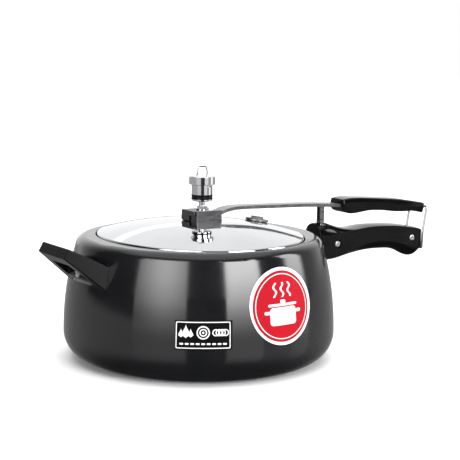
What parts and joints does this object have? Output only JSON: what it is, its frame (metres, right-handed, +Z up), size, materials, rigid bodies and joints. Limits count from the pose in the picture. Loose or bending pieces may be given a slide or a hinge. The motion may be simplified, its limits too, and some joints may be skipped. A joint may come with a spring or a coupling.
{
  "type": "stovetop pressure cooker",
  "caption": "Round dark pressure pan with an oval inner lid held up by a lever, a vent weight, a long handle and a looped helper handle",
  "frame": {"origin": "pan axis on the resting face of the base", "axes": "+Z up along the pan axis, +X along the long handle"},
  "size_m": [0.4105, 0.2461, 0.174],
  "materials": {
    "anodised": "dark hard-anodised, satin gloss",
    "base_steel": "turned stainless base plate",
    "bracket_steel": "pressed steel",
    "bracket_dark": "dull dark steel",
    "bar_steel": "plated flat steel",
    "rivet_alu": "cold-headed",
    "screw_steel": "plated",
    "bakelite": "glossy black moulding",
    "bakelite_satin": "satin black moulding",
    "round_label": null,
    "square_label": null,
    "mirror_steel": "mirror-polished stainless steel",
    "gasket_rubber": "moulded rubber",
    "chrome": "bright plated",
    "valve_steel": "dull grey metal",
    "valve_plug": "soft alloy",
    "wire": "bright wire",
    "needle_steel": "ground",
    "ring_black": "black moulding"
  },
  "bodies": {
    "pan": {"pan_body": "anodised", "base_plate": "base_steel", "pan_handle_bracket": "bracket_steel", "pan_handle_rivets": "rivet_alu", "pan_handle": "bakelite", "pan_handle_screws": "screw_steel", "pan_handle_nuts": "screw_steel", "helper_handle": "bakelite_satin", "helper_bracket": "bracket_steel", "helper_rivets": "rivet_alu", "helper_screw": "screw_steel", "round_label": "round_label", "square_label": "square_label"},
    "lever": {"lever_bar": "bar_steel", "lever_leg": "bar_steel", "upper_handle": "bakelite", "upper_handle_screw": "screw_steel"},
    "lid_group": {"lid": "mirror_steel", "gasket": "gasket_rubber", "lid_bracket": "bracket_dark", "lid_pivot_pin": "bracket_dark", "vent_tube": "chrome", "vent_tube_collar": "chrome", "vent_tube_nut": "chrome", "safety_valve_body": "valve_steel", "safety_valve_plug": "valve_plug", "safety_valve_washer": "gasket_rubber", "safety_valve_nut": "valve_steel"},
    "loop": {"locking_loop": "wire"},
    "weight_core": {"weight_needle": "needle_steel"},
    "weight_shell": {"weight_base": "chrome", "weight_ring": "ring_black", "weight_body": "chrome", "weight_cap": "chrome", "weight_finger_loop": "wire", "weight_catch_spring": "wire"}
  },
  "joints": [
    {"name": "lever_lift", "type": "hinge", "parent": "pan", "child": "lever", "pos_m": [0.136, 0, 0.1095], "axis": [0, -1, 0], "range_deg": [0, 12]},
    {"name": "lid_level", "type": "hinge", "parent": "lever", "child": "lid_group", "pos_m": [0.0119, 0, 0.1286], "axis": [0, 1, 0], "range_deg": [0, 12]},
    {"name": "loop_swing", "type": "hinge", "parent": "lever", "child": "loop", "pos_m": [0.259, 0, 0.1234], "axis": [0, -1, 0], "range_deg": [0, 96]},
    {"name": "weight_lift", "type": "slide", "parent": "lid_group", "child": "weight_core", "axis": [0, 0, 1], "range_m": [0, 0.03]},
    {"name": "weight_spin", "type": "hinge", "parent": "weight_core", "child": "weight_shell", "pos_m": [0.0018, 0, 0.15], "axis": [0, 0, 1], "continuous": true}
  ],
  "couplings": [
    {"joint": "lid_level", "follows": "lever_lift", "ratio": 1},
    {"joint": "loop_swing", "follows": "lever_lift", "ratio": 8}
  ]
}
